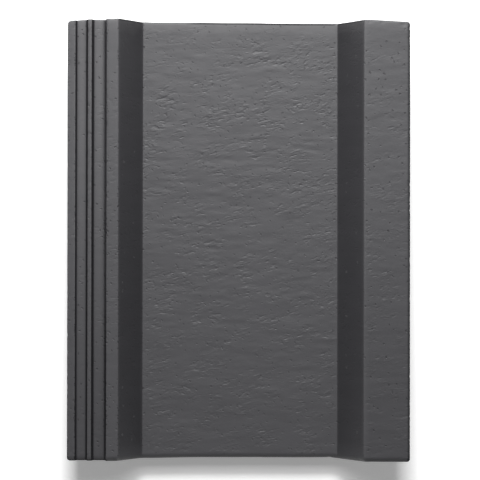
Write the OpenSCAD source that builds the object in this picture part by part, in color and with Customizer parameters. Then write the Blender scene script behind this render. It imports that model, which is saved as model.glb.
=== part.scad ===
// Interlocking concrete roof tile with one wide flat pan between two raised sides.
// One piece: the section is drawn as an upper and a lower line of corners, swept from tail to head.
// It lies face up as it rests on a level floor, on its weather bar and nibs, with the head at +Y.

/* [Overall size] */
// Width over both side locks
tile_w = 330; // [275:1:400]
// Length from the tail edge to the head edge
tile_l = 426; // [350:1:510]

/* [Body] */
// Thickness of the pan
pan_t = 12.5; // [10:0.5:15]
// Thickness of the flanks beside the pan, square to their faces
flank_t = 11.2; // [9:0.1:14]
// Slope of the flanks, in degrees
flank_angle = 55.5; // [48:0.5:62]
// Height of the crown beside the underlock above the pan
crown_rise = 32; // [26:1:44]
// Width of that crown, with its rounded edges
crown_w = 11.5; // [9:0.1:20]
// How far the overlock ridge stands above the crown
ridge_lift = 3; // [2.5:0.5:7]
// Blend at the edge between a flank and its crown or ridge
edge_blend = 1; // [0.6:0.1:3]
// Blend at the foot of a flank, where the pan starts
foot_blend = 0.8; // [0.6:0.1:4]

/* [Side lock] */
// Width of the outer lip of the underlock
lip_w = 7.6; // [6:0.1:10]
// Depth of the lip's top below the crown
lip_drop = 7.5; // [6.5:0.1:8.5]
// Width of the floor of the outer water channel
outer_channel_w = 9.4; // [8:0.1:12]
// Width of the top of the rib between the channels
rib_w = 3.7; // [3.5:0.1:6]
// Depth of the rib's top below the crown
rib_drop = 6; // [5:0.1:7]
// Width of the floor of the inner water channel
inner_channel_w = 11.3; // [11:0.1:15]
// Depth of both channels below the crown
channel_drop = 11; // [10.5:0.1:12.5]
// Thickness of the concrete under the channels
channel_floor_t = 7.5; // [7:0.5:12]
// Draft of the walls of the channels and the rib, in degrees
wall_draft = 18; // [10:1:20]
// Draft of the step up to the crown, in degrees
step_draft = 9; // [4:1:12]
// Clearance all along the lock between two tiles that are laid side by side
lock_gap = 1.5; // [1:0.1:2]
// Clearance between two courses, above the lock and the flanks
course_gap = 0.5; // [0.2:0.1:2]

/* [Ends] */
// Radius of the rounded nose at the tail edge
nose_r = 5; // [3:0.5:6]
// Radius of the arris at the head edge
head_r = 1.5; // [1:0.5:4]
// Length of the strip at the head where the upper face falls away
head_strip = 11; // [6:1:16]
// How far that strip falls
head_fall = 0.6; // [0.2:0.1:1]
// Share of the end rounding that the small ribs and channels take
lock_share = 0.5; // [0:0.05:0.6]
// Radius of the tile's corners in plan
corner_r = 3; // [1:0.5:4]

/* [Underside] */
// Depth of the two nibs that hang the tile on its batten, at the least
nib_drop = 14; // [10:1:18]
// Width of a nib across the tile, at the pan
nib_w = 46; // [30:1:50]
// Length of a nib along the tile, at the pan
nib_l = 24; // [18:1:30]
// Distance from the head edge to the back of a nib
nib_setback = 4; // [2:1:10]
// Distance between the centres of the nibs
nib_pitch = 118; // [80:1:130]
// Number of weather bars across the pan near the tail
bar_count = 2; // [1:1:3]
// Length of a weather bar along the tile, at the pan
bar_l = 12; // [10:0.5:14]
// Distance between two weather bars, and from the tail edge to the first
bar_pitch = 24; // [18:1:34]

/* [Hidden] */

// Segments in each blended corner of the section, and in the rounding of each end
blend_steps = 3;
end_steps = 5;
// Lengths of the small blends in the side lock, which its lowest wall limits, of the arrises
// of the tile's outer faces, and of the blend at the foot of the step
lock_blend = min(0.5, (channel_drop - max(lip_drop, rib_drop)) / 3);
arris_blend = 0.9;
step_blend = 2.4;
// Blend on the hollow side of a flank
under_blend = 4;
// How far the outer face of the lip leans in towards its foot
lip_lean = 1;
// Slope of the sides of the nibs and weather bars, in degrees from upright
nib_slope = 24;
bar_slope = 12;
// Slope of the face of a nib that bears on the batten
hang_slope = 4;
// Rounding of the nibs and weather bars
nib_round = 2.5;
bar_round = 2;
// How far the nibs and weather bars reach up into the pan
root = 4;

// Heights in the section, from the underside of the pan
pan_z = pan_t;
crown_z = pan_z + crown_rise;
ridge_z = crown_z + ridge_lift;
lip_z = crown_z - lip_drop;
rib_z = crown_z - rib_drop;
channel_z = crown_z - channel_drop;
lock_under_z = channel_z - channel_floor_t;

// Corners of the underlock's upper line as [x, z] from the tile's left edge
lip_end = lip_w;
outer_start = lip_end + (lip_z - channel_z) * tan(wall_draft);
outer_end = outer_start + outer_channel_w;
rib_run = (rib_z - channel_z) * tan(wall_draft);
rib_start = outer_end + rib_run;
rib_end = rib_start + rib_w;
inner_start = rib_end + rib_run;
inner_end = inner_start + inner_channel_w;
lock_w = inner_end + channel_drop * tan(step_draft);
underlock = [
    [0, lip_z],
    [lip_end, lip_z],
    [outer_start, channel_z],
    [outer_end, channel_z],
    [rib_start, rib_z],
    [rib_end, rib_z],
    [inner_start, channel_z],
    [inner_end, channel_z],
    [lock_w, crown_z]
];

// Spread of the points where one line runs straight past a corner of the other: less where
// the wall of the lip or the rib is short
straight = min(0.3, min(outer_start - lip_end, rib_run) / 3);

// The overlock hooks over the next tile's underlock, so its lower line is the underlock's
// upper line moved off by the clearance, and shifted by the width that one tile covers.
hook_line = parallel_line(underlock, lock_gap);
ridge_edge = lock_w - lock_gap / cos(step_draft) + ridge_lift * tan(step_draft);
cover_w = tile_w - ridge_edge;

// Places of the flanks. The right one clears the lip of the tile that it covers.
flank_cot = 1 / tan(flank_angle);
flank_across = flank_t / sin(flank_angle);
lean = tan(flank_angle / 2);
crown_end = lock_w + crown_w;
pan_start = crown_end + crown_rise * flank_cot;
lip_side_z = lip_z - arris_blend;
ridge_start = cover_w - lock_gap - flank_across + (ridge_z - lip_side_z) * flank_cot;
pan_end = ridge_start - (ridge_z - pan_z) * flank_cot;
foot_left = pan_start + pan_z * flank_cot - flank_across;
foot_right = pan_end - pan_z * flank_cot + flank_across;
roof_z = lip_z + lock_gap;
roof_start = foot_right + roof_z * flank_cot;

// A tile of the course above stands on its weather bars in this tile's pan. They are deep
// enough to carry it clear of the two tiles that lock side by side, and of the flanks.
lap_t = ridge_z - lock_under_z;
course_rise = max(lap_t, flank_t / cos(flank_angle)) + course_gap;
bar_drop = course_rise - pan_t;
// The nibs reach deeper than the weather bars, so that they still catch the batten
nib_depth = max(nib_drop, bar_drop + 1);

// Upper line from left to right. Each row is [x, z, blend, end share, end lean, side]:
// the blend rounds the corner, the end share says how much of the end rounding the corner
// sinks by, the end lean moves it sideways with that, and side marks the outer faces.
upper = [
    [0, lip_z, arris_blend, lock_share, 0, -1],
    for (i = [1:6]) [underlock[i].x, underlock[i].y, lock_blend, lock_share, 0, 0],
    [inner_end, channel_z, step_blend, lock_share, 0, 0],
    [lock_w, crown_z, arris_blend, 1, 0, 0],
    [crown_end, crown_z, edge_blend, 1, lean, 0],
    [pan_start, pan_z, foot_blend, 1, lean, 0],
    [pan_end, pan_z, foot_blend, 1, -lean, 0],
    [ridge_start, ridge_z, edge_blend, 1, -lean, 0],
    for (i = [1:6]) [cover_w + underlock[i].x, ridge_z, straight, 1, 0, 0],
    [tile_w, ridge_z, arris_blend, 1, 0, 1]
];

// Lower line from left to right, with a corner for each corner of the upper line
lower = [
    [lip_lean, lock_under_z, arris_blend, 0, 0, -1],
    for (i = [1:8]) [underlock[i].x, lock_under_z, straight, 0, 0, 0],
    [foot_left - lock_under_z * flank_cot, lock_under_z, edge_blend, 0, 0, 0],
    [foot_left, 0, under_blend, 0, 0, 0],
    [foot_right, 0, under_blend, 0, 0, 0],
    [roof_start, roof_z, edge_blend, 0, 0, 0],
    for (i = [1:6]) [cover_w + hook_line[i].x, hook_line[i].y, lock_blend, 0, 0, 0],
    [cover_w + hook_line[7].x, hook_line[7].y, step_blend - lock_gap, 0, 0, 1]
];

// Stations along the tile as [y, sink of the upper line]: a round nose at the tail, then
// the strip that falls towards the head, then the arris of the head.
tail_stations = [for (k = [0:end_steps])
    [nose_r * (1 - cos(90 * k / end_steps)), nose_r * (1 - sin(90 * k / end_steps))]];
strip_stations = [for (k = [end_steps:-1:1])
    let (t = head_r + (head_strip - head_r) * k / end_steps)
    [tile_l - t, strip_fall(t)]];
head_stations = [for (k = [end_steps:-1:0])
    let (t = head_r * (1 - cos(90 * k / end_steps)))
    [tile_l - t, strip_fall(t) + head_r * (1 - sin(90 * k / end_steps))]];
stations = concat(tail_stations, strip_stations, head_stations);

// How far the strip at the head has fallen at a distance t from the head edge
function strip_fall(t) = head_fall * pow(max(0, 1 - t / head_strip), 2);

// How far the outer faces stand back at a distance t from an end
function side_inset(t) = t >= corner_r ? 0 : corner_r - sqrt(pow(corner_r, 2) - pow(corner_r - t, 2));

// A line of corners moved off sideways by a distance, to the left of its direction
function parallel_line(line, distance) = [for (i = [0:len(line) - 1])
    let (
        before = unit(line[max(i, 1)] - line[max(i, 1) - 1]),
        after = unit(line[min(i + 1, len(line) - 1)] - line[min(i + 1, len(line) - 1) - 1]),
        sum = left(before) + left(after)
    )
    line[i] + sum * distance / (1 + left(before) * left(after))];

function unit(v) = v / norm(v);
function left(v) = [-v.y, v.x];

// The line of corners as it is at one station
function line_at(line, y, sink) = [for (c = line)
    [c[0] - sink * c[3] * c[4] - c[5] * side_inset(min(y, tile_l - y)), c[1] - sink * c[3], c[2]]];

// Each corner of a closed line replaced by a smooth curve from a point before it to one after it
function blended(line) = [for (i = [0:len(line) - 1])
    let (
        corner = [line[i][0], line[i][1]],
        last = line[(i + len(line) - 1) % len(line)],
        next = line[(i + 1) % len(line)],
        start = corner + line[i][2] * unit([last[0], last[1]] - corner),
        end = corner + line[i][2] * unit([next[0], next[1]] - corner)
    )
    for (k = [0:blend_steps])
        let (s = k / blend_steps)
        pow(1 - s, 2) * start + 2 * s * (1 - s) * corner + pow(s, 2) * end];

function reversed(line) = [for (i = [len(line) - 1:-1:0]) line[i]];

// One closed ring of points: the upper line to the right, then the lower line back
function ring(y, sink) = [for (p = blended(line_at(concat(upper, reversed(lower)), y, sink)))
    [p.x, y, p.y]];

rings = [for (s = stations) ring(s[0], s[1])];

// Centre [y, z] of the rounded foot edge of a block that hangs down and faces the tail
function foot_centre(y, drop, slope, round_r) =
    [y + drop * tan(slope) + round_r * tan(45 - slope / 2), round_r - drop];

// The tile rests on the rounded edges of its first weather bar and of its nibs
bar_y = bar_pitch - bar_l / 2;
nib_y = tile_l - nib_setback - nib_l;
bar_foot = foot_centre(bar_y, bar_drop, bar_slope, bar_round);
nib_foot = foot_centre(nib_y, nib_depth, hang_slope, nib_round);
feet = nib_foot - bar_foot;
rest_tilt = asin((nib_round - bar_round) / norm(feet)) - atan2(feet.y, feet.x);
rest_z = bar_round - bar_foot.x * sin(rest_tilt) - bar_foot.y * cos(rest_tilt);

// Middle of the resting tile's outline seen from above, which goes to the origin
outline = [for (r = rings, p = r) [p.x, p.y * cos(rest_tilt) - p.z * sin(rest_tilt)]];
middle_x = (min([for (p = outline) p.x]) + max([for (p = outline) p.x])) / 2;
middle_y = (min([for (p = outline) p.y]) + max([for (p = outline) p.y])) / 2;

// The sweep of all rings, closed by a strip of quads at each end
module body() {
    points = [for (r = rings) each r];
    ring_len = len(rings[0]);
    last = len(rings) - 1;
    sides = [for (j = [0:last - 1], i = [0:ring_len - 1])
        let (
            n = (i + 1) % ring_len,
            a = j * ring_len,
            b = a + ring_len
        )
        each [[a + i, b + i, b + n], [a + i, b + n, a + n]]];
    caps = [for (i = [0:ring_len / 2 - 2])
        let (
            m = ring_len - 1 - i,
            b = last * ring_len
        )
        each [
            [i, i + 1, m - 1],
            [i, m - 1, m],
            [b + i, b + m - 1, b + i + 1],
            [b + i, b + m, b + m - 1]
        ]];
    polyhedron(points = points, faces = concat(sides, caps));
}

// A block with sloping sides that hangs below z = 0. Its width runs along X.
module hanging_block(width, length, drop, side_slope, tail_slope, head_slope, round_r) {
    intersection() {
        rotate([90, 0, 90])
            linear_extrude(width, center = true)
            rounded_foot(0, length, drop, tail_slope, head_slope, round_r);
        rotate([90, 0, 0])
            linear_extrude(3 * length, center = true)
            rounded_foot(-width / 2, width / 2, drop, side_slope, side_slope, round_r);
    }
}

// Outline of such a block: straight flanks, rounded at the foot, and sunk into the pan
module rounded_foot(start, end, drop, start_slope, end_slope, round_r) {
    offset(round_r)
        offset(delta = -round_r)
        polygon([
            [start - root * tan(start_slope), root],
            [start + drop * tan(start_slope), -drop],
            [end - drop * tan(end_slope), -drop],
            [end + root * tan(end_slope), root]
        ]);
}

module nibs() {
    for (side = [-1, 1])
        translate([(pan_start + pan_end + side * nib_pitch) / 2, nib_y, 0])
        hanging_block(nib_w, nib_l, nib_depth, nib_slope, hang_slope, nib_slope, nib_round);
}

module weather_bars() {
    bar_w = foot_right - foot_left - 2 * under_blend;
    for (i = [1:bar_count])
        translate([(foot_left + foot_right) / 2, bar_y + (i - 1) * bar_pitch, 0])
        hanging_block(bar_w, bar_l, bar_drop, bar_slope, bar_slope, bar_slope, bar_round);
}

module tile() {
    color([0.27, 0.27, 0.28])
        translate([-middle_x, -middle_y, rest_z])
        rotate([rest_tilt, 0, 0])
        union() {
            body();
            nibs();
            weather_bars();
        }
}

tile();
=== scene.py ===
"""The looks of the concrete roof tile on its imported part.

The body is swept again from the section of the part's source, finely enough to carry the
relief of the real casting: soft ripples and dents across the pan, chipped and crumbled arrises,
a head edge that was cut slightly out of square, and rough cut ends. What is finer, such as drag
marks, pits and nicks, is a height in the finish. Section sizes are in millimetres from the
tile's left edge, tail edge and pan underside; the mesh goes to Blender in metres.
"""

import math

import bpy
import numpy as np
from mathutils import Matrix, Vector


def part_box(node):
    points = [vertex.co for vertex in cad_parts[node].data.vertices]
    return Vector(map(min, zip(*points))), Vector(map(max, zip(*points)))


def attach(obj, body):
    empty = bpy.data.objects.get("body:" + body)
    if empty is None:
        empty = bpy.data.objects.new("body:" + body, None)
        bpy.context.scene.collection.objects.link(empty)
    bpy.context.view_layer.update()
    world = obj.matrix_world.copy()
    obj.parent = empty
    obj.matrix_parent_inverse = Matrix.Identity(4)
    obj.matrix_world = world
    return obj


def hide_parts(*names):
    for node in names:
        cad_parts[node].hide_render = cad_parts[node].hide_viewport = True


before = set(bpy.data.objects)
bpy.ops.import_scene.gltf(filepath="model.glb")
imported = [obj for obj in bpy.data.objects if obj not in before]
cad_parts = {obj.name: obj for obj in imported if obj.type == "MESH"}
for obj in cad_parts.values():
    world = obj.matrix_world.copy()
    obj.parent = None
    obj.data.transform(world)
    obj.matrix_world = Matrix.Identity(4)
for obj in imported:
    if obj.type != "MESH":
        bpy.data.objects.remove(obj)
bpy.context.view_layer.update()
cad_low, cad_high = (np.array(c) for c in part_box("tile"))
random = np.random.default_rng(7)

# ---------------------------------------------------------------- the section, in millimetres

TILE_W = 330.0
TILE_L = 426.0
PAN_T = 12.5
FLANK_T = 11.2
FLANK_ANGLE = math.radians(55.5)
CROWN_RISE = 32.0
CROWN_W = 11.5
RIDGE_LIFT = 3.0
LIP_W = 7.6
LIP_DROP = 7.5
OUTER_CHANNEL_W = 9.4
RIB_W = 3.7
RIB_DROP = 6.0
INNER_CHANNEL_W = 11.3
CHANNEL_DROP = 11.0
CHANNEL_FLOOR_T = 7.5
WALL_DRAFT = math.radians(18)
STEP_DRAFT = math.radians(9)
LOCK_GAP = 1.5
COURSE_GAP = 0.5
NOSE_R = 5.0
HEAD_R = 1.5
HEAD_STRIP = 11.0
HEAD_FALL = 0.6
CORNER_R = 3.0
LOCK_SHARE = 0.5
UNDER_INSET = 1.0
REST_TILT = math.radians(0.679063)

# How far each kind of corner is blended
EDGE = 1.0
FOOT = 0.8
UNDER_FOOT = 4.0
SMALL = 0.5
PLAIN = 0.3
ARRIS = 0.9
STEP = 2.4

NIB_W = 46
NIB_L = 24
NIB_DROP = 14
NIB_PITCH = 118
NIB_Y = 398
NIB_SLOPES = (24, 4, 24)
NIB_EDGE = 2.5
NIB_CORNER = 1.6
BAR_L = 12
BAR_PLACES = (("tail_bar", 18), ("second_bar", 42))
BAR_END_GAP = 4
BAR_SLOPES = (12, 12, 12)
BAR_EDGE = 2.0
BAR_CORNER = 1.2
BLOCK_SUNK = 3.0

crown_z = PAN_T + CROWN_RISE
ridge_z = crown_z + RIDGE_LIFT
lip_z = crown_z - LIP_DROP
rib_z = crown_z - RIB_DROP
channel_z = crown_z - CHANNEL_DROP
under_z = channel_z - CHANNEL_FLOOR_T

outer_start = LIP_W + (lip_z - channel_z) * math.tan(WALL_DRAFT)
outer_end = outer_start + OUTER_CHANNEL_W
rib_run = (rib_z - channel_z) * math.tan(WALL_DRAFT)
rib_start = outer_end + rib_run
rib_end = rib_start + RIB_W
inner_start = rib_end + rib_run
inner_end = inner_start + INNER_CHANNEL_W
lock_w = inner_end + CHANNEL_DROP * math.tan(STEP_DRAFT)
underlock = np.array([
    [0, lip_z], [LIP_W, lip_z], [outer_start, channel_z], [outer_end, channel_z],
    [rib_start, rib_z], [rib_end, rib_z], [inner_start, channel_z], [inner_end, channel_z],
    [lock_w, crown_z]])


def unit(v):
    """The vectors at length 1."""
    return v / np.linalg.norm(v, axis=-1, keepdims=True)


def to_left(v):
    """The vectors turned a quarter to the left."""
    return np.stack([-v[:, 1], v[:, 0]], 1)


def parallel_line(line, distance):
    """The line moved off sideways, to the left of its direction."""
    steps = unit(np.diff(line, axis=0))
    before = np.vstack([steps[:1], steps])
    after = np.vstack([steps, steps[-1:]])
    spread = 1 + np.sum(before * after, 1, keepdims=True)
    return line + (to_left(before) + to_left(after)) * distance / spread


hook = parallel_line(underlock, LOCK_GAP)
cover_w = TILE_W - (lock_w - LOCK_GAP / math.cos(STEP_DRAFT) + RIDGE_LIFT * math.tan(STEP_DRAFT))
cot = 1 / math.tan(FLANK_ANGLE)
flank_across = FLANK_T / math.sin(FLANK_ANGLE)
lean = math.tan(FLANK_ANGLE / 2)
crown_end = lock_w + CROWN_W
pan_start = crown_end + CROWN_RISE * cot
ridge_start = cover_w - LOCK_GAP - flank_across + (ridge_z - lip_z + ARRIS) * cot
pan_end = ridge_start - (ridge_z - PAN_T) * cot
foot_left = pan_start + PAN_T * cot - flank_across
foot_right = pan_end - PAN_T * cot + flank_across
roof_z = lip_z + LOCK_GAP
roof_start = foot_right + roof_z * cot
bar_drop = max(ridge_z - under_z, FLANK_T / math.cos(FLANK_ANGLE)) + COURSE_GAP - PAN_T

# Corners as [x, z, blend, end share, end lean, side], paired between the two lines
upper = [[0, lip_z, ARRIS, LOCK_SHARE, 0, -1]]
upper += [[x, z, SMALL, LOCK_SHARE, 0, 0] for x, z in underlock[1:7]]
upper += [
    [inner_end, channel_z, STEP, LOCK_SHARE, 0, 0], [lock_w, crown_z, ARRIS, 1, 0, 0],
    [crown_end, crown_z, EDGE, 1, lean, 0], [pan_start, PAN_T, FOOT, 1, lean, 0],
    [pan_end, PAN_T, FOOT, 1, -lean, 0], [ridge_start, ridge_z, EDGE, 1, -lean, 0]]
upper += [[cover_w + x, ridge_z, PLAIN, 1, 0, 0] for x, z in underlock[1:7]]
upper += [[TILE_W, ridge_z, ARRIS, 1, 0, 1]]
lower = [[UNDER_INSET, under_z, ARRIS, 0, 0, -1]]
lower += [[x, under_z, PLAIN, 0, 0, 0] for x, z in underlock[1:9]]
lower += [
    [foot_left - under_z * cot, under_z, EDGE, 0, 0, 0], [foot_left, 0, UNDER_FOOT, 0, 0, 0],
    [foot_right, 0, UNDER_FOOT, 0, 0, 0], [roof_start, roof_z, EDGE, 0, 0, 0]]
lower += [[cover_w + x, z, SMALL, 0, 0, 0] for x, z in hook[1:7]]
lower += [[cover_w + hook[7, 0], hook[7, 1], STEP - LOCK_GAP, 0, 0, 1]]
upper, lower = np.array(upper), np.array(lower)

# ---------------------------------------------------------------- rows and columns of the sweep

# Steps in each corner's blend, and points between one corner's blend and the next
BLEND = [3] + [2] * 6 + [4, 3, 3, 3, 3, 3] + [2] * 6 + [3]
BETWEEN = [3, 1, 5, 1, 1, 1, 4, 2, 4, 11, 62, 12, 5, 0, 3, 0, 1, 0, 4]
LOCK_PARTS = 9
COARSE = 4
ROWS = 93 * COARSE + 1
NOSE_STEPS = 8
HEAD_STEPS = 6


def row_places():
    """Distances of the rows from the tail edge: close together in the rounded ends.

    The last row is just short of the head edge, where the cap starts.
    """
    nose_turn = math.pi / 2 * np.arange(NOSE_STEPS) / NOSE_STEPS
    head_turn = math.pi / 2 * np.arange(HEAD_STEPS - 1, 0, -1) / HEAD_STEPS
    nose = NOSE_R * (1 - np.cos(nose_turn))
    head = TILE_L - HEAD_R * (1 - np.cos(head_turn))
    middle = np.linspace(NOSE_R, head[0], ROWS - len(nose) - len(head) + 1)[:-1]
    return np.concatenate([nose, middle, head])


def round_fall(radius, t):
    """How far a rounded edge has fallen at a distance t from its end."""
    return radius - np.sqrt(np.clip(radius ** 2 - np.clip(radius - t, 0, None) ** 2, 0, None))


def sink_of(y):
    """How far the upper face lies below its section at y."""
    t = TILE_L - y
    strip_fall = HEAD_FALL * np.clip(1 - t / HEAD_STRIP, 0, None) ** 2
    return round_fall(NOSE_R, y) + strip_fall + round_fall(HEAD_R, t)


def inset_of(y):
    """How far the rounded corners of the outline draw the sides in at y."""
    return round_fall(CORNER_R, np.minimum(y, TILE_L - y))


def line_at(line, y, sink):
    """Corners of one line at every row: [row, corner, (x, z)]."""
    corner_x, corner_z, _, share, end_lean, side = line.T
    x = corner_x - sink[:, None] * share * end_lean - side * inset_of(y)[:, None]
    z = corner_z - sink[:, None] * share
    return np.stack([x, z], 2)


def columns(line, corners, first, last):
    """The blended line at every row. first and last are the corners beyond its two ends."""
    chain = np.concatenate([first[:, None], corners, last[:, None]], 1)
    out, ends = [], []
    for i, reach in enumerate(line[:, 2]):
        corner = chain[:, i + 1]
        start = corner + reach * unit(chain[:, i] - corner)
        end = corner + reach * unit(chain[:, i + 2] - corner)
        gaps = BETWEEN[i - 1] + 1 if i else 0
        for k in range(1, gaps):
            f = k / gaps
            if i < LOCK_PARTS:
                f = 0.5 - 0.5 * math.cos(math.pi * f)
            out.append(ends[-1] * (1 - f) + start * f)
        for k in range(BLEND[i] + 1):
            s = k / BLEND[i]
            out.append((1 - s) ** 2 * start + 2 * s * (1 - s) * corner + s ** 2 * end)
        ends.append(end)
    return np.stack(out, 1)


def to_3d(grid, rows):
    """Points [row, column, (x, y, z)] from points [row, column, (x, z)]."""
    along = np.broadcast_to(rows[:, None], grid.shape[:2])
    return np.stack([grid[..., 0], along, grid[..., 1]], 2)


y = row_places()
sink = sink_of(y)
top_corners, low_corners = line_at(upper, y, sink), line_at(lower, y, sink)
top = columns(upper, top_corners, low_corners[:, 0], low_corners[:, -1])
low = columns(lower, low_corners, top_corners[:, 0], top_corners[:, -1])
top, low = to_3d(top, y), to_3d(low[::COARSE], y[::COARSE])
COLS = top.shape[1]

# ---------------------------------------------------------------- relief of the casting

# Layers of noise, as (height, cell width, cell length, seed)
RIPPLES = ((0.086, 17, 4.6, 11), (0.080, 30, 8.5, 12), (0.034, 8.5, 2.9, 13))
BROAD = (0.165, 60, 38, 14)
WANDER = (2.5, 30, 18, 3)
RIDGE_RIPPLE = 0.8
REST_RIPPLE = 0.22
RIDGE_BROAD = 0.4
FADE = 3

# How many dents, the ranges of their half widths, half lengths and depths, and the mean and
# spread of their turn
PAN_DENTS = 640
PAN_DENT = ((1.9, 4.7), (1.25, 2.3), (0.05, 0.21), (0.10, 0.30))
RIDGE_DENTS = 110
RIDGE_DENT = ((1.5, 3.4), (1.1, 1.9), (0.02, 0.10), (0.1, 0.5))
PRESSED_SHARE = 0.65
RAISED = -0.7
CRUMBS = 100

# Larger chips in the arrises of the ends and the right side, as (x, y, half width, half length,
# depth)
CHIPS = (
    (122, TILE_L - 2, 1.8, 1.2, 0.5), (291, TILE_L - 2, 2.2, 1.3, 0.6),
    (303, TILE_L - 2, 1.6, 1.2, 0.5), (324, TILE_L - 3, 2.4, 1.6, 0.7),
    (254, 1, 1.6, 1.3, 0.7), (46, 2, 2.2, 1.4, 0.5), (3, 9, 1.2, 2.4, 0.35),
    (TILE_W - 1, 21, 0.9, 1.3, 0.5), (TILE_W - 1, 17, 0.9, 1.0, 0.4))

# Edges of the lock and the ridge, which crumble
EDGES = (0.6, LIP_W, rib_start + 0.3, rib_end - 0.3, lock_w, TILE_W - 0.5)


def ease(t):
    return t ** 3 * (t * (t * 6 - 15) + 10)


def lattice_noise(px, py, size_x, size_y, seed):
    """Smooth noise from -1 to 1 with cells of size_x by size_y millimetres."""
    rng = np.random.default_rng(seed)
    table = rng.uniform(-1, 1, (256, 256))
    u, v = px / size_x + 100.5, py / size_y + 100.5
    iu, iv = np.floor(u).astype(int), np.floor(v).astype(int)
    fu, fv = ease(u - iu), ease(v - iv)

    def value(a, b):
        return table[a % 256, b % 256]

    return ((value(iu, iv) * (1 - fu) + value(iu + 1, iv) * fu) * (1 - fv)
            + (value(iu, iv + 1) * (1 - fu) + value(iu + 1, iv + 1) * fu) * fv)


def noise_layer(px, py, layer):
    """One layer of noise, given as (height, cell width, cell length, seed)."""
    height, size_x, size_y, seed = layer
    return height * lattice_noise(px, py, size_x, size_y, seed)


def smooth(a, b, x):
    """0 at a and beyond, 1 at b and beyond, with a smooth step between them."""
    t = np.clip((x - a) / (b - a), 0, 1)
    return t * t * (3 - 2 * t)


def pan_share_at(x):
    return smooth(pan_start, pan_start + FADE, x) * (1 - smooth(pan_end - FADE, pan_end, x))


def ridge_share_at(x):
    return smooth(ridge_start + 1, ridge_start + 5, x)


def normals_of(grid):
    """Normals of a sheet of points [row, column, (x, y, z)]."""
    along = np.gradient(grid, axis=0)
    across = np.gradient(grid, axis=1)
    n = np.cross(across, along)
    return n / np.maximum(np.linalg.norm(n, axis=2, keepdims=True), 1e-9)


X, Y = top[..., 0], top[..., 1]
in_pan = pan_share_at(X)
on_ridge = ridge_share_at(X) * (1 - smooth(TILE_W - 3, TILE_W - 1, X))
on_rest = 1 - np.maximum(in_pan, on_ridge)
# The relief is strongest in the upper third, and fades out at the head edge
calm = smooth(0, 22, TILE_L - Y) * (0.88 + 0.12 * smooth(60, 200, Y) + 0.2 * smooth(230, 330, Y))
strength = in_pan * calm + on_ridge * RIDGE_RIPPLE * calm + on_rest * REST_RIPPLE
wandered = Y + noise_layer(X, Y, WANDER)
ripple = sum(noise_layer(X, wandered, layer) for layer in RIPPLES)
relief = strength * ripple + noise_layer(X, Y, BROAD) * (in_pan + RIDGE_BROAD * on_ridge)


def dent(cx, cy, half_x, half_y, depth, turn=0):
    """A soft dent pressed into the relief, or a raised mark if depth is negative."""
    c0, c1 = np.searchsorted(top[ROWS // 2, :, 0], [cx - 3 * half_x, cx + 3 * half_x])
    r0, r1 = np.searchsorted(y, [cy - 3 * half_y - half_x, cy + 3 * half_y + half_x])
    sx, sy = X[r0:r1, c0:c1] - cx, Y[r0:r1, c0:c1] - cy
    u = sx * math.cos(turn) + sy * math.sin(turn)
    v = -sx * math.sin(turn) + sy * math.cos(turn)
    relief[r0:r1, c0:c1] -= depth * np.exp(-(u / half_x) ** 2 - (v / half_y) ** 2)


def random_dent(cx, cy, kind, sign=1, weight=1):
    """A dent of random size and turn, from the ranges of its kind."""
    half_x, half_y, depth, turn = kind
    dent(cx, cy, random.uniform(*half_x), random.uniform(*half_y),
         sign * random.uniform(*depth) * weight, random.normal(*turn))


for _ in range(PAN_DENTS):
    cx = random.uniform(pan_start + 5, pan_end - 5)
    cy = random.uniform(18, TILE_L - 24)
    weight = 0.6 + 0.4 * smooth(60, 190, cy)
    if random.uniform() > weight:
        continue
    sign = 1 if random.uniform() < PRESSED_SHARE else RAISED
    random_dent(cx, cy, PAN_DENT, sign, weight)
for _ in range(RIDGE_DENTS):
    cx = random.uniform(ridge_start + 6, TILE_W - 5)
    cy = random.uniform(14, TILE_L - 20)
    random_dent(cx, cy, RIDGE_DENT)
for chip in CHIPS:
    dent(*chip)
for _ in range(CRUMBS):
    edge = EDGES[random.integers(len(EDGES))]
    dent(edge, random.uniform(4, TILE_L - 4), random.uniform(0.5, 0.9), random.uniform(0.8, 2.2),
         random.uniform(0.08, 0.4))

top = top + normals_of(top) * relief[..., None]

# ---------------------------------------------------------------- the mesh

LAYERS = 4
CUT_SEED = 40
# How far the cut at the head stands back, as (x, distance): uneven, and a little out of square
HEAD_CUT = (
    (0, 1.8), (13, 0.3), (30, -0.2), (44, 0.35), (50, -0.3), (72, -0.2), (80, 0.2), (167, 0.4),
    (220, 1.2), (292, 1.15), (TILE_W, 3.2))
CUT_REACH = 90
TAIL_HOLLOW = 0.95
HOLLOW_REACH = 30

points, quads, triangles = [], [], []


def add_points(new):
    """Adds points to the mesh and gives their numbers."""
    numbers = sum(len(part) for part in points) + np.arange(len(new))
    points.append(new)
    return numbers


def grid_faces(numbers, flip):
    """Adds four-sided faces between the points of a grid."""
    a, b, c, d = numbers[:-1, :-1], numbers[:-1, 1:], numbers[1:, 1:], numbers[1:, :-1]
    order = (a, d, c, b) if flip else (a, b, c, d)
    quads.append(np.stack([q.ravel() for q in order], 1))


def side_wall(column, flip):
    """The wall along one side. Its first strip is fans, from the fine rows to the coarse ones."""
    layers = [top_index[::COARSE, column]]
    for k in range(1, LAYERS):
        f = k / LAYERS
        layers.append(add_points(top[::COARSE, column] * (1 - f) + low[:, column] * f))
    layers.append(low_index[:, column])
    wall = np.stack(layers, 1)
    grid_faces(wall[:, 1:], flip)
    for m in range(len(wall) - 1):
        fine = top_index[m * COARSE:(m + 1) * COARSE + 1, column]
        this, following = wall[m, 1], wall[m + 1, 1]
        fan = [(this, fine[k + 1], fine[k]) for k in range(COARSE // 2)]
        fan += [(following, fine[k + 1], fine[k]) for k in range(COARSE // 2, COARSE)]
        fan += [(this, following, fine[COARSE // 2])]
        triangles.extend(face[::-1] if flip else face for face in fan)
    return wall


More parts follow.
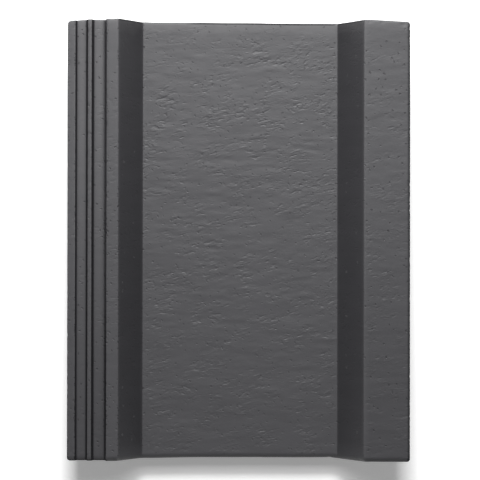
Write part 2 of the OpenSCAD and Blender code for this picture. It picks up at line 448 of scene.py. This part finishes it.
def cut_depth(p, seed):
    """How far the raw cut ends lie inward: coarse noise and a few voids."""
    rough = 0.16 + 0.14 * lattice_noise(p[:, 0], p[:, 2], 3.2, 2.6, seed)
    voids = np.clip(lattice_noise(p[:, 0], p[:, 2], 4.1, 3.4, seed + 1) - 0.62, 0, None)
    return rough + 0.5 * voids


def end_cap(row, low_row, inward, flip):
    """The cut face between the two sheets at one end, joined to the side walls."""
    layers = [top_index[row]]
    for k in range(1, LAYERS):
        f = k / LAYERS
        between = top[row, 1:-1] * (1 - f) + low[low_row, 1:-1] * f
        between[:, 1] += inward * cut_depth(between, CUT_SEED + row)
        layers.append(np.concatenate(
            [[left_wall[low_row, k]], add_points(between), [right_wall[low_row, k]]]))
    layers.append(low_index[low_row])
    grid_faces(np.stack(layers, 0), flip)


def head_cut_at(x):
    return np.interp(x, *zip(*HEAD_CUT))


def shaped_ends(p):
    """The head edge cut a little out of square, and the tail edge of the pan a little hollow."""
    p = p.copy()
    x, place = p[:, 0], p[:, 1]
    cut = head_cut_at(x) + 0.10 * lattice_noise(x, 0 * x, 9, 1, 21)
    place -= np.clip(cut, -0.3, None) * smooth(TILE_L - CUT_REACH, TILE_L, place)
    hollow = TAIL_HOLLOW * smooth(pan_start - 4, pan_start + 62, x) * (
        1 - smooth(pan_end - 8, pan_end + 5, x))
    hollow += 0.06 * (1 + lattice_noise(x, 0 * x, 7, 1, 22))
    place += hollow * (1 - smooth(0, HOLLOW_REACH, place))
    return p


def make_object(name, verts, faces):
    mesh = bpy.data.meshes.new(name)
    mesh.from_pydata(verts, [], faces)
    obj = bpy.data.objects.new(name, mesh)
    bpy.context.scene.collection.objects.link(obj)
    return obj


def wall_offset(z, slope, drop, radius):
    """How far a sloping wall with a rounded foot stands in from its line at the pan."""
    turn = -drop + radius * (1 - math.sin(slope))
    if z >= turn:
        return -z * math.tan(slope)
    centre = drop * math.tan(slope) + radius * math.tan(math.pi / 4 - slope / 2)
    rise = min(1.0, (radius - drop - z) / radius)
    return centre - radius * math.sqrt(1 - rise * rise)


def block(name, middle, width, start, length, drop, slopes, radius, corner):
    """A nib or weather bar: a rounded block with sloping sides, sunk into the pan."""
    side, tail, head = (math.radians(a) for a in slopes)
    heights = [BLOCK_SUNK, -drop + radius]
    heights += [-drop + radius * (1 - math.sin(math.radians(a))) for a in range(15, 91, 15)]
    verts = []
    for z in heights:
        dx, d0, d1 = (wall_offset(z, a, drop, radius) for a in (side, tail, head))
        low_x, high_x = middle - width / 2 + dx, middle + width / 2 - dx
        low_y, high_y = start + d0, start + length - d1
        for cx, cy, turn in ((high_x, high_y, 0), (low_x, high_y, 90), (low_x, low_y, 180),
                             (high_x, low_y, 270)):
            inset_x = corner if cx == low_x else -corner
            inset_y = corner if cy == low_y else -corner
            for step in range(0, 91, 30):
                a = math.radians(turn + step)
                verts.append((cx + inset_x + corner * math.cos(a),
                              cy + inset_y + corner * math.sin(a), z))
    ring = len(verts) // len(heights)
    faces = [tuple(range(ring))]
    for r in range(len(heights) - 1):
        for k in range(ring):
            n = (k + 1) % ring
            faces.append((r * ring + n, r * ring + k, (r + 1) * ring + k, (r + 1) * ring + n))
    faces.append(tuple((len(heights) - 1) * ring + k for k in reversed(range(ring))))
    return make_object(name, verts, faces)


def join(body, parts):
    """Makes the body one mesh with the parts that are sunk into it."""
    for part in parts:
        union = body.modifiers.new(part.name, "BOOLEAN")
        union.operation = "UNION"
        union.solver = "MANIFOLD"
        union.object = part
    bpy.context.view_layer.update()
    whole = body.evaluated_get(bpy.context.evaluated_depsgraph_get())
    mesh = bpy.data.meshes.new_from_object(whole)
    body.modifiers.clear()
    body.data = mesh
    for part in parts:
        bpy.data.objects.remove(part)
    return mesh


top_index = add_points(top.reshape(-1, 3)).reshape(-1, COLS)
low_index = add_points(low.reshape(-1, 3)).reshape(-1, COLS)
grid_faces(top_index, flip=False)
grid_faces(low_index, flip=True)
left_wall = side_wall(0, flip=True)
right_wall = side_wall(COLS - 1, flip=False)
end_cap(0, 0, inward=1, flip=True)
end_cap(ROWS - 1, len(low_index) - 1, inward=-1, flip=False)
faces = np.vstack(quads).tolist() + np.array(triangles).tolist()
tile = make_object("concrete_tile", shaped_ends(np.vstack(points)).tolist(), faces)

pan_middle = (pan_start + pan_end) / 2
bar_middle = (foot_left + foot_right) / 2
bar_w = foot_right - foot_left - 2 * BAR_END_GAP
blocks = [
    block(name, pan_middle + side * NIB_PITCH / 2, NIB_W, NIB_Y, NIB_L, NIB_DROP, NIB_SLOPES,
          NIB_EDGE, NIB_CORNER)
    for name, side in (("left_nib", -1), ("right_nib", 1))]
blocks += [
    block(name, bar_middle, bar_w, start, BAR_L, bar_drop, BAR_SLOPES, BAR_EDGE, BAR_CORNER)
    for name, start in BAR_PLACES]
joined = join(tile, blocks)

# ---------------------------------------------------------------- what the finish needs to know

vertex_count = len(joined.vertices)
co = np.zeros(vertex_count * 3)
joined.vertices.foreach_get("co", co)
x, place, z = co.reshape(-1, 3).T
normal = np.zeros(vertex_count * 3)
joined.vertex_normals.foreach_get("vector", normal)
normal_z = normal.reshape(-1, 3)[:, 2]


def near(value, centre, reach):
    """1 at the centre, fading to nothing at about twice the reach."""
    return np.exp(-((value - centre) / reach) ** 2)


surface = np.interp(x, top[ROWS // 2, :, 0], top[ROWS // 2, :, 2])
above_surface = z - surface + sink_of(place).clip(0, NOSE_R)
face_up = smooth(-0.25, 0.15, normal_z) * smooth(-4.0, -2.0, above_surface)
pan_share = pan_share_at(x)
ridge_share = ridge_share_at(x)
left_flank = smooth(crown_end - 0.2, crown_end + 0.8, x) * smooth(pan_start + 0.4, pan_start - 1.0, x)
right_flank = smooth(pan_end - 0.4, pan_end + 1.0, x) * smooth(ridge_start + 0.2, ridge_start - 0.8, x)
flank = left_flank + right_flank
to_tail = 1 - smooth(40, 260, place)

# The fine marks are strongest in the upper part of the pan, and fade out at the head edge
marks_kept = smooth(0, 24, TILE_L - place) * (
    0.58 + 0.07 * smooth(50, 190, place) + 0.25 * smooth(240, 330, place))
texture = marks_kept * (pan_share + (0.85 - 0.35 * smooth(200, 300, place)) * ridge_share)
texture += 0.35 * (1 - np.maximum(pan_share, ridge_share))

# The coat is rougher, less glossy and darker in the corners of the lock, on the flanks and along the
# cut head. The darkening is painted shade; along the cut head the colour is just darker.
# Painted shade in the corners of the lock's channels
grooves = sum(near(x, c, 0.7) for c in (outer_start, outer_end, inner_start))
grooves += near(x, inner_end + 0.4, 0.9)
grooves *= smooth(crown_z - 3.0, crown_z - 8.0, z) * face_up
# Painted shade on the steep walls of the lock, which face sideways
steep = (x < lock_w + 0.4) * smooth(0.86, 0.6, normal_z) * (z > channel_z - 6) * (x > 1.0)
# Less painted shade on the step towards the head, as painted light there
step_light = 0.75 * near(x, (inner_end + lock_w) / 2, 1.6) * (1 - to_tail)
shade_and_dull = np.maximum(grooves, steep) * (1 - step_light)
# Painted shade along the right edge
shade_and_dull += near(x, TILE_W - 0.4, 1.2)
# Painted shade on the flanks, heavier towards the tail and at the head end
left_flank_shade = (0.36 + 0.14 * smooth(330, 150, place) + 0.20 * smooth(396, 421, place)
             + 0.10 * smooth(crown_end, pan_start, x) - 0.25 * smooth(18, 4, place))
right_flank_shade = (0.29 + 0.11 * smooth(300, 120, place) + 0.22 * smooth(385, 421, place)
              - 0.20 * smooth(18, 4, place))
shade_and_dull += left_flank * left_flank_shade
shade_and_dull += right_flank * right_flank_shade * (1 - 0.35 * smooth(pan_end + 8, ridge_start, x))
# Painted shade on the ridge and the lock, growing towards the tail
shade_and_dull += ridge_share * (0.03 + 0.14 * to_tail) + (x < lock_w) * 0.14 * to_tail
# Darker along the cut head of the pan and the flanks
head_y = TILE_L - head_cut_at(x)
head_arris = smooth(head_y - 1.9, head_y - 0.9, place)
shade_and_dull += (0.9 * pan_share * smooth(105, 135, x) + 0.5 * flank) * head_arris

# It is paler along the arrises, partly as worn coat and partly as a painted highlight, and the floors
# of the channels carry painted light that grows towards the head
arrises = (0.6, LIP_W - 0.3, rib_start + 0.4, rib_end - 0.4, lock_w, crown_end + 0.3,
           ridge_start - 0.2)
pale_wear_and_light = 0.4 * sum(near(x, c, 0.8) for c in arrises)
inner_floor = near(x, (inner_start + inner_end) / 2, 4)
outer_floor = near(x, (outer_start + outer_end) / 2, 3.5)
pale_wear_and_light += (inner_floor + 0.8 * outer_floor) * smooth(10, 400, place)

# Nicks are everywhere on the upper face, but fewest on the flanks
nicks = 1 - 0.6 * flank - 0.35 * pan_share

# Small chips along the edges, as (x, reach, share)
CHIPPED = (
    (1.0, 1.2, 0.7), (LIP_W - 0.3, 0.9, 0.9), (rib_start + 0.3, 0.8, 0.3),
    (rib_end - 0.3, 0.8, 0.3), (lock_w + 0.3, 1.2, 1.0), (inner_end - 0.6, 1.2, 1.0),
    (crown_end, 1.0, 0.8), (pan_start, 1.0, 0.5), (TILE_W - 0.8, 1.1, 0.7))
chips = sum(share * near(x, c, reach) for c, reach, share in CHIPPED)

# The pale strip at the head shows most on the pan and the flanks
strip = 0.35 + 0.65 * (pan_share + flank)

for name, values in (
        ("coated", face_up), ("texture_share", texture * face_up), ("shade_and_dull", shade_and_dull),
        ("pale_wear_and_light", pale_wear_and_light * face_up), ("nicks", nicks * face_up), ("flank", flank * face_up),
        ("chips", chips * face_up), ("strip", strip)):
    attribute = joined.attributes.new(name, "FLOAT", "POINT")
    attribute.data.foreach_set("value", np.clip(values, 0, 1).astype(np.float32))

# ---------------------------------------------------------------- from the section to the row frame

SHARP = math.radians(38)
tilt_cos, tilt_sin = math.cos(REST_TILT), math.sin(REST_TILT)
moved = np.stack([x, place * tilt_cos - z * tilt_sin, place * tilt_sin + z * tilt_cos], 1) / 1000
shift = np.array([
    (cad_low[0] + cad_high[0]) / 2 - (moved[:, 0].min() + moved[:, 0].max()) / 2,
    cad_low[1] - moved[:, 1].min(),
    cad_low[2] - moved[:, 2].min()])
moved = np.clip(moved + shift, cad_low, cad_high)
joined.vertices.foreach_set("co", moved.ravel())
joined.polygons.foreach_set("use_smooth", np.ones(len(joined.polygons), bool))
joined.set_sharp_from_angle(angle=SHARP)
joined.update()
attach(tile, "root")
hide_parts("tile")

# ---------------------------------------------------------------- the finish

# The coat, from its clouds of two tones to where it is worn or knocked off, with painted shade and
# painted light
COAT_DARK = (0.0246, 0.0241, 0.0268)
COAT_LIGHT = (0.0292, 0.0287, 0.0317)
COAT_SPECKLE = (0.0340, 0.0334, 0.0364)
COAT_GRAIN = (0.0300, 0.0295, 0.0321)
COAT_STRIP = (0.0420, 0.0412, 0.0441)
# Worn coat and a painted highlight on the arrises, and painted light on the channel floors
PALE_WEAR_AND_LIGHT_COAT = (0.0580, 0.0570, 0.0604)
# Painted shade
PAINTED_SHADE_COAT = (0.0110, 0.0108, 0.0121)
# Painted shade in pits, nicks and chips
PIT_SHADE = (0.0170, 0.0166, 0.0182)
CHIP_SHADE = (0.0120, 0.0117, 0.0128)
FLECK = (0.0760, 0.0750, 0.0780)
# The raw concrete of the underside and the cut ends
RAW_DARK = (0.070, 0.069, 0.070)
RAW_LIGHT = (0.125, 0.123, 0.122)
RAW_BLOOM = (0.15, 0.147, 0.143)
# Painted shade in the pits of the raw concrete
RAW_PIT_SHADE = (0.030, 0.030, 0.031)

# Heights of the fine relief, in millimetres
DENT_H = -0.05
CRUMB_H = -0.07
RAISED_H = 0.035
SLANT_LOW_H = -0.28
SLANT_HIGH_H = 0.16
GRAIN_H = 0.02
RAW_GRAIN_H = 0.30
RAW_PIT_H = -0.12
COATED_PIT_H = -0.14
NICK_H = -0.26
CHIP_H = -0.35

# The pale strip at the head, in metres from the head edge
STRIP_BACK = 0.0275
STRIP_UNEVEN = 0.026
STRIP_EDGE = 0.006

GLOSS = 0.4
GLOSS_LOST = 0.32
ROUGH_COATED = 0.44
ROUGH_UNEVEN = 0.10
ROUGH_RAW = 0.38
ROUGH_DULL = 0.3


class Nodes:
    """Short ways to add and link shader nodes."""

    def __init__(self, owner):
        owner.use_nodes = True
        self.tree = owner.node_tree
        self.tree.nodes.clear()

    def put(self, value, socket):
        """Links another node's output to a socket, or sets a plain value."""
        if isinstance(value, bpy.types.NodeSocket):
            self.tree.links.new(value, socket)
        else:
            socket.default_value = value

    def add(self, kind, inputs=None, **settings):
        node = self.tree.nodes.new(kind)
        for key, value in settings.items():
            setattr(node, key, value)
        for key, value in (inputs or {}).items():
            self.put(value, node.inputs[key])
        return node

    def math(self, operation, a, b=0.0, c=0.0, clamp=False):
        node = self.add("ShaderNodeMath", {0: a, 1: b, 2: c}, operation=operation, use_clamp=clamp)
        return node.outputs[0]

    def plus(self, a, b):
        return self.math("ADD", a, b)

    def times(self, a, b):
        return self.math("MULTIPLY", a, b)

    def ramp(self, value, low, high, to_low=0.0, to_high=1.0):
        return self.add("ShaderNodeMapRange", {
            "Value": value, "From Min": low, "From Max": high, "To Min": to_low,
            "To Max": to_high}, interpolation_type="SMOOTHSTEP").outputs[0]

    def attribute(self, name):
        return self.add("ShaderNodeAttribute", attribute_name=name).outputs["Fac"]

    def object_place(self):
        return self.add("ShaderNodeTexCoord").outputs["Object"]

    def stretched(self, size, turn=0):
        """The place on the object in cells of size millimetres, turned in plan."""
        return self.add("ShaderNodeMapping", {
            "Vector": self.object_place(), "Rotation": (0, 0, turn),
            "Scale": tuple(a / 1000 for a in size)}, vector_type="TEXTURE").outputs[0]

    def noise(self, size, detail=2.0, roughness=0.5, turn=0):
        return self.add("ShaderNodeTexNoise", {
            "Vector": self.stretched(size, turn), "Scale": 1.0, "Detail": detail,
            "Roughness": roughness}, normalize=True).outputs["Fac"]

    def mix(self, factor, a, b):
        """Colour a blended with colour b."""
        node = self.add("ShaderNodeMix", {0: factor}, data_type="RGBA")
        for number, colour in ((6, a), (7, b)):
            self.put((*colour, 1) if isinstance(colour, tuple) else colour, node.inputs[number])
        return node.outputs[2]

    def spots(self, cell, share, core, rim, turn=0, dimensions="2D"):
        """Ragged spots in a share of the cells of a bent grid: 1 inside the core, 0 past the rim."""
        wobble = self.add("ShaderNodeTexNoise", {
            "Vector": self.stretched((1.7, 1.7, 1.7)), "Scale": 1.0, "Detail": 1.0})
        bend = self.add("ShaderNodeVectorMath", {0: wobble.outputs["Color"], 1: (0.35, 0.35, 0.0)},
                        operation="MULTIPLY")
        bent = self.add("ShaderNodeVectorMath", {0: self.stretched(cell, turn), 1: bend.outputs[0]},
                        operation="ADD")
        cells = self.add("ShaderNodeTexVoronoi", {
            "Vector": bent.outputs[0], "Scale": 1.0, "Randomness": 1.0},
            voronoi_dimensions=dimensions)
        pick = self.add("ShaderNodeSeparateColor", {"Color": cells.outputs["Color"]}).outputs[0]
        chosen = self.ramp(pick, 1 - share, 1.02 - share)
        return self.times(self.ramp(cells.outputs["Distance"], rim, core), chosen)

    def seen_directly(self):
        """1 for the rays of the camera, also those that were mirrored or let through."""
        rays = self.add("ShaderNodeLightPath").outputs
        first_two = self.math("MAXIMUM", rays["Is Camera Ray"], rays["Is Glossy Ray"])
        return self.math("MAXIMUM", first_two, rays["Is Transmission Ray"])


def drag_marks(n):
    """Heights of the marks that run along X, and of slanting dents in patches."""
    marks = n.noise((6.2, 2.1, 6.2), 1.6, 0.55)
    marks_turned = n.noise((4.6, 1.8, 4.6), 1.2, 0.5, turn=math.radians(-4))
    slanting = n.noise((6.2, 3.2, 6.2), 1.2, 0.5, turn=math.radians(13))
    gathered = n.ramp(n.noise((26, 15, 26), 1.0), 0.36, 0.62, 0.25, 1.0)
    patches = n.ramp(n.noise((19, 14, 19), 1.0), 0.42, 0.60)
    dents = n.ramp(marks, 0.56, 0.74, 0.0, DENT_H)
    crumbs = n.ramp(marks_turned, 0.60, 0.76, 0.0, CRUMB_H)
    raised = n.ramp(marks, 0.42, 0.26, 0.0, RAISED_H)
    drag = n.times(n.plus(n.plus(dents, crumbs), raised), gathered)
    slants = n.plus(n.ramp(slanting, 0.54, 0.72, 0.0, SLANT_LOW_H),
                    n.ramp(slanting, 0.44, 0.28, 0.0, SLANT_HIGH_H))
    return n.times(n.plus(drag, n.times(slants, patches)), n.attribute("texture_share"))


def coat_colour(n, shade_and_dull, pit, nick, chip):
    """A dark coat, thinner and paler along the head, paler along the arrises as worn coat and as a
    painted highlight, with painted light on the channel floors and painted shade in corners, pits and
    chips, on the flanks and towards the tail.
    """
    cloud = n.noise((34, 14, 34), 3.0, 0.55)
    speckle = n.noise((2.4, 1.6, 2.4), 2.0, 0.6)
    coat = n.mix(n.ramp(cloud, 0.3, 0.7), COAT_DARK, COAT_LIGHT)
    coat = n.mix(n.ramp(speckle, 0.25, 0.75, 0.0, 0.35), coat, COAT_SPECKLE)
    coat = n.mix(n.times(n.ramp(speckle, 0.68, 0.80), 0.5), coat, COAT_GRAIN)
    along = n.add("ShaderNodeSeparateXYZ", {"Vector": n.object_place()}).outputs["Y"]
    uneven = n.noise((24, 14, 24), 2.0, 0.55)
    strip_start = n.math("MULTIPLY_ADD", uneven, STRIP_UNEVEN, cad_high[1] - STRIP_BACK)
    into_strip = n.ramp(n.math("SUBTRACT", along, strip_start), 0.0, STRIP_EDGE)
    worn = n.ramp(n.noise((7, 5, 7), 2.0), 0.25, 0.7, 0.45, 1.0)
    strip_share = n.times(n.attribute("strip"), 0.8)
    coat = n.mix(n.times(n.times(into_strip, worn), strip_share), coat, COAT_STRIP)
    # Paler along the arrises as worn coat and a painted highlight, and painted light on the channel
    # floors
    coat = n.mix(n.times(n.attribute("pale_wear_and_light"), 0.6), coat, PALE_WEAR_AND_LIGHT_COAT)
    # Painted shade, where the shade mask is high
    coat = n.mix(n.times(shade_and_dull, 0.8), coat, PAINTED_SHADE_COAT)
    # Painted shade in the pits and nicks
    coat = n.mix(n.times(n.math("MAXIMUM", pit, nick), 0.6), coat, PIT_SHADE)
    # Painted shade in the chips
    coat = n.mix(n.times(chip, 0.7), coat, CHIP_SHADE)
    flecks = n.spots((9.0, 14.0, 9.0), share=0.26, core=0.02, rim=0.10)
    fleck = n.times(flecks, n.attribute("flank"))
    return n.mix(n.times(fleck, 0.6), coat, FLECK)


def raw_colour(n, pit):
    """Mottled raw concrete, with painted shade in its pits."""
    raw = n.mix(n.ramp(n.noise((3.0, 2.4, 3.0), 4.0, 0.65), 0.3, 0.7), RAW_DARK, RAW_LIGHT)
    raw = n.mix(n.ramp(n.noise((40, 26, 40), 2.0), 0.35, 0.7, 0.0, 0.5), raw, RAW_BLOOM)
    # Painted shade in the pits
    return n.mix(n.times(pit, 0.8), raw, RAW_PIT_SHADE)


def coated_concrete():
    """Concrete under a dark satin coat, which stops at the edges of the upper face."""
    material = bpy.data.materials.new("coated_concrete")
    n = Nodes(material)
    coated = n.attribute("coated")
    shade_and_dull = n.attribute("shade_and_dull")
    pit = n.spots((5.5, 5.0, 5.5), share=0.20, core=0.06, rim=0.17, dimensions="3D")
    nicks = n.spots((7.5, 9.0, 7.5), share=0.42, core=0.03, rim=0.15, turn=math.radians(38))
    nick = n.times(nicks, n.attribute("nicks"))
    chips = n.spots((2.1, 2.7, 2.1), share=0.60, core=0.10, rim=0.42, turn=0.3)
    chip_runs = n.ramp(n.noise((50, 16, 50), 1.0), 0.44, 0.56, 0.15, 1.0)
    chip = n.times(chips, n.times(n.attribute("chips"), chip_runs))

    grain = n.times(n.noise((0.9, 0.8, 0.9), 2.0, 0.6), GRAIN_H)
    raw_grain = n.times(n.noise((1.6, 1.4, 1.5), 3.0, 0.65),
                        n.math("MULTIPLY_ADD", coated, -RAW_GRAIN_H, RAW_GRAIN_H))
    pit_height = n.math("MULTIPLY_ADD", coated, COATED_PIT_H - RAW_PIT_H, RAW_PIT_H)
    height = n.plus(n.plus(drag_marks(n), grain), raw_grain)
    height = n.math("MULTIPLY_ADD", pit, pit_height, height)
    height = n.math("MULTIPLY_ADD", nick, NICK_H, height)
    height = n.math("MULTIPLY_ADD", chip, CHIP_H, height)
    bump = n.add("ShaderNodeBump", {"Height": height, "Strength": 1.0, "Distance": 0.001})

    colour = n.mix(coated, raw_colour(n, pit), coat_colour(n, shade_and_dull, pit, nick, chip))
    roughness = n.math("MULTIPLY_ADD", n.noise((9, 5, 9), 3.0, 0.6), ROUGH_UNEVEN, ROUGH_COATED)
    roughness = n.plus(roughness, n.math("MULTIPLY_ADD", coated, -ROUGH_RAW, ROUGH_RAW))
    roughness = n.plus(roughness, n.times(shade_and_dull, ROUGH_DULL))
    broken = n.math("MULTIPLY_ADD", nick, 0.35, chip, clamp=True)
    gloss = n.math("MULTIPLY_ADD", shade_and_dull, -GLOSS_LOST, GLOSS)
    gloss = n.times(gloss, n.math("MULTIPLY_ADD", broken, -0.9, 1.0))
    shader = n.add("ShaderNodeBsdfPrincipled", {
        "Base Color": colour, "Roughness": roughness, "Normal": bump.outputs[0],
        "Specular IOR Level": gloss})
    n.add("ShaderNodeOutputMaterial", {"Surface": shader.outputs[0]})
    return material


joined.materials.clear()
joined.materials.append(coated_concrete())

# ---------------------------------------------------------------- floor, light and camera

FLOOR_HALF = 8
FLOOR_GAP = 0.0002
FLOOR_GLOW = 0.245
WORLD_FILL = 0.10
WHITE = (1, 1, 1, 1)
TILE_MIDDLE = (0, 0, 0)


def white_floor():
    """Plain white paper that also glows a little to the camera."""
    material = bpy.data.materials.new("white_floor")
    n = Nodes(material)
    diffuse = n.add("ShaderNodeBsdfDiffuse", {"Color": (0.90, 0.90, 0.90, 1)})
    strength = n.times(n.seen_directly(), FLOOR_GLOW)
    glow = n.add("ShaderNodeEmission", {"Color": WHITE, "Strength": strength})
    both = n.add("ShaderNodeAddShader", {0: diffuse.outputs[0], 1: glow.outputs[0]})
    n.add("ShaderNodeOutputMaterial", {"Surface": both.outputs[0]})
    return material


def studio_world():
    """White where the camera sees it, and a weak fill light elsewhere."""
    world = bpy.data.worlds.new("studio")
    n = Nodes(world)
    backdrop = n.add("ShaderNodeBackground", {"Color": WHITE, "Strength": 1.0})
    fill = n.add("ShaderNodeBackground", {"Color": WHITE, "Strength": WORLD_FILL})
    either = n.add("ShaderNodeMixShader", {
        0: n.seen_directly(), 1: fill.outputs[0], 2: backdrop.outputs[0]})
    n.add("ShaderNodeOutputWorld", {"Surface": either.outputs[0]})
    return world


def soft_lamp(name, place, aim, size, power):
    """A square area lamp, turned towards its aim."""
    lamp = bpy.data.lights.new(name, "AREA")
    lamp.shape = "SQUARE"
    lamp.size = size
    lamp.energy = power
    obj = bpy.data.objects.new(name, lamp)
    obj.location = place
    from_to = np.array(aim) - np.array(place)
    flat = math.hypot(from_to[0], from_to[1])
    obj.rotation_euler = (math.atan2(flat, -from_to[2]), 0, math.atan2(-from_to[0], from_to[1]))
    bpy.context.scene.collection.objects.link(obj)


floor_corners = [(a * FLOOR_HALF, b * FLOOR_HALF, 0) for a, b in ((-1, -1), (1, -1), (1, 1), (-1, 1))]
floor = make_object("floor", floor_corners, [(0, 1, 2, 3)])
floor.location.z = -FLOOR_GAP
floor.data.materials.append(white_floor())
bpy.context.scene.world = studio_world()

# A near lamp over the head, whose light falls off along the tile, and a far one that leaves
# no shadow beside the tile
soft_lamp("head_light", (0, 0.377, 0.60), TILE_MIDDLE, 0.6, 5.0)
soft_lamp("key_light", (0, 3.336, 3.020), TILE_MIDDLE, 1.4, 225.0)

# The camera looks almost straight down from two metres
camera = bpy.data.objects.new("camera", bpy.data.cameras.new("camera"))
camera.data.sensor_width = 36
camera.data.lens = 155.7
camera.data.clip_start = 0.05
camera.data.clip_end = 50
camera.location = (0.0092, -0.0450, 2.05)
camera.rotation_euler = (0.02238, 0.00369, 0.00154)
bpy.context.scene.collection.objects.link(camera)
bpy.context.scene.camera = camera
bpy.context.scene.view_settings.view_transform = "Standard"

bpy.context.view_layer.update()
